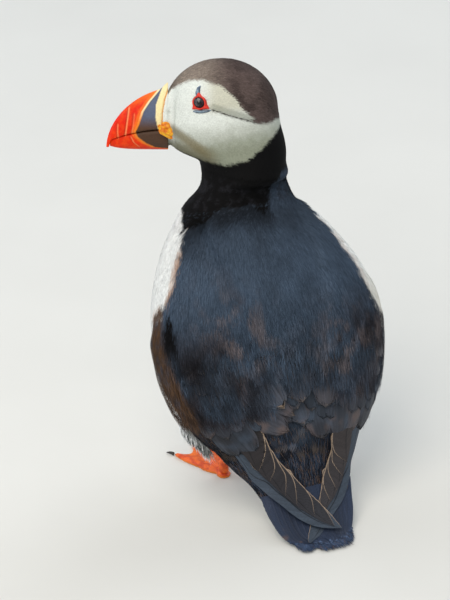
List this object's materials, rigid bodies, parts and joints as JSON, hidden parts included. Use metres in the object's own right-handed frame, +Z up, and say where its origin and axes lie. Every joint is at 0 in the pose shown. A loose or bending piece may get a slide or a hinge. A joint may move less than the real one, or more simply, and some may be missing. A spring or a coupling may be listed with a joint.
{
  "type": "atlantic puffin",
  "caption": "Standing seabird, seen whole: upright body, head turned to its left, tall grooved bill, folded wings crossed over a short tail, webbed feet.",
  "frame": {"origin": "centre of the bird's bounding box, on the floor it stands on", "axes": "+Z up, -Y the way the body faces, +X the bird's left side; the bill points to +X and a little to -Y"},
  "size_m": [0.1506, 0.1552, 0.2679],
  "materials": {
    "face": "soft white-grey face feathers",
    "back": "slate-black body feathers, white below",
    "wing": "brown-black wing feathers with thin pale edges",
    "tail": "slate-blue tail feathers",
    "collar": "deep black collar feathers",
    "thigh": "white thigh feathers",
    "bill": "grooved orange-red bill horn with a slate base and cream ridge",
    "rosette": "wrinkled yellow-orange skin",
    "foot": "orange scaled foot skin and web",
    "eye": "glossy dark eye",
    "claw": "black claw horn"
  },
  "bodies": {
    "root": {"head": "face", "neck": "collar", "trunk": "back", "tail": "tail", "wing_left": "wing", "wing_right": "wing", "thigh_left": "thigh", "thigh_right": "thigh", "tarsus_left": "foot", "tarsus_right": "foot", "foot_left": "foot", "foot_right": "foot", "bill_upper": "bill", "bill_lower": "bill", "rosette_left": "rosette", "rosette_right": "rosette", "eye_left": "eye", "eye_right": "eye", "claw_inner_left": "claw", "claw_middle_left": "claw", "claw_outer_left": "claw", "claw_inner_right": "claw", "claw_middle_right": "claw", "claw_outer_right": "claw"}
  },
  "joints": []
}
